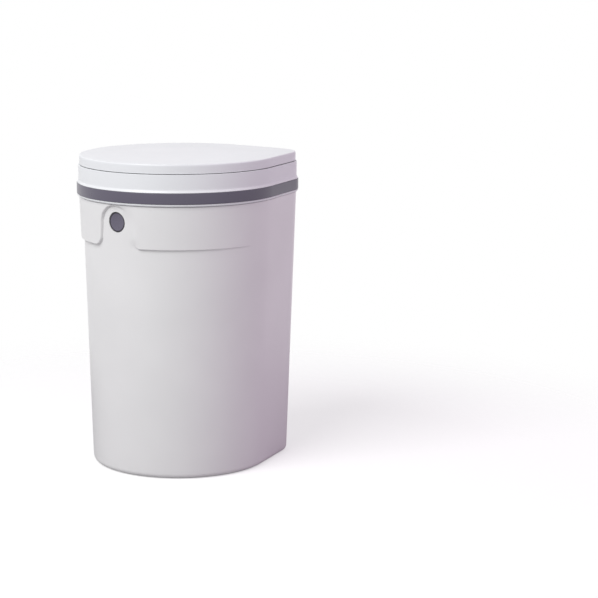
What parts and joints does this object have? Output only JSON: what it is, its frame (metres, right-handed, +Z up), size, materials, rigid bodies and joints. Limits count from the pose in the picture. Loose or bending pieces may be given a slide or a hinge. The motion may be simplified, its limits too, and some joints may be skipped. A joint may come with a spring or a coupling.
{
  "type": "nappy bin",
  "caption": "Tall round-fronted bin with a flat back, a button that frees its hinged head, a hinged lid, a film cassette in a well and a sprung trap below it.",
  "frame": {"origin": "on the floor, on the axis of the round front, in the middle of the tub's base", "axes": "+Z up, -Y to the front with the button, +Y to the flat back with the hinges, +X to the side with the flat side wall"},
  "size_m": [0.3027, 0.3146, 0.46],
  "materials": {
    "white_shell": "fine satin, warm white, lilac in shade",
    "inner_white": "satin white",
    "grey_trim": "satin grey violet",
    "dark_latch": "satin",
    "soft_rubber": "matt",
    "steel": "plain bright",
    "card": "grey lilac printed board",
    "packed_film": "pleated thin white film",
    "paper": "white paper with a plain red mark"
  },
  "bodies": {
    "tub": {"tub_body": "white_shell", "foot_pad_1": "soft_rubber", "foot_pad_2": "soft_rubber", "foot_pad_3": "soft_rubber", "foot_pad_4": "soft_rubber", "latch_housing": "inner_white", "button_spring": "steel", "housing_screw_left": "steel", "housing_screw_right": "steel", "head_hinge_pin": "steel"},
    "button": {"button_cap": "grey_trim", "latch_slider": "dark_latch"},
    "head": {"head_shell": "white_shell", "trim_band": "grey_trim", "cassette_well": "inner_white", "flange_screw_1": "steel", "flange_screw_2": "steel", "flange_screw_3": "steel", "latch_keeper": "dark_latch", "keeper_screw_left": "steel", "keeper_screw_right": "steel", "refill_box": "card", "refill_film": "packed_film", "refill_band_1": "paper", "refill_band_2": "paper", "refill_band_3": "paper", "refill_band_4": "paper", "trap_frame": "inner_white", "trap_screw_1": "steel", "trap_screw_2": "steel", "trap_screw_3": "steel", "trap_screw_4": "steel", "trap_pin_left": "steel", "trap_pin_right": "steel", "jaw_spring_left": "steel", "jaw_spring_right": "steel", "cutter_guard": "grey_trim", "cutter_blade": "steel", "cutter_screw_left": "steel", "cutter_screw_right": "steel", "lid_hinge_pin": "steel"},
    "jaw_left": {"trap_jaw_left": "inner_white", "jaw_lip_left": "soft_rubber"},
    "jaw_right": {"trap_jaw_right": "inner_white", "jaw_lip_right": "soft_rubber"},
    "lid": {"lid_cover": "white_shell", "lid_liner": "inner_white", "lid_seal": "soft_rubber", "liner_screw_1": "steel", "liner_screw_2": "steel", "liner_screw_3": "steel"}
  },
  "joints": [
    {"name": "button_press", "type": "slide", "parent": "tub", "child": "button", "axis": [0, 1, 0], "range_m": [0, 0.004], "stiffness_N_per_m": 600, "springref_m": -0.002, "deforming": ["button_spring"]},
    {"name": "head_hinge", "type": "hinge", "parent": "tub", "child": "head", "pos_m": [0.02, 0.1584, 0.4003], "axis": [-1, 0, 0], "range_deg": [0, 85]},
    {"name": "lid_hinge", "type": "hinge", "parent": "head", "child": "lid", "pos_m": [0.02, 0.154, 0.4464], "axis": [-1, 0, 0], "range_deg": [0, 100]},
    {"name": "jaw_left_hinge", "type": "hinge", "parent": "head", "child": "jaw_left", "pos_m": [-0.064, 0, 0.347], "axis": [0, 1, 0], "range_deg": [0, 70], "stiffness_Nm_per_rad": 0.12, "springref_deg": -17.19, "deforming": ["jaw_spring_left"]},
    {"name": "jaw_right_hinge", "type": "hinge", "parent": "head", "child": "jaw_right", "pos_m": [0.064, 0, 0.347], "axis": [0, -1, 0], "range_deg": [0, 70], "stiffness_Nm_per_rad": 0.12, "springref_deg": -17.19, "deforming": ["jaw_spring_right"]}
  ]
}
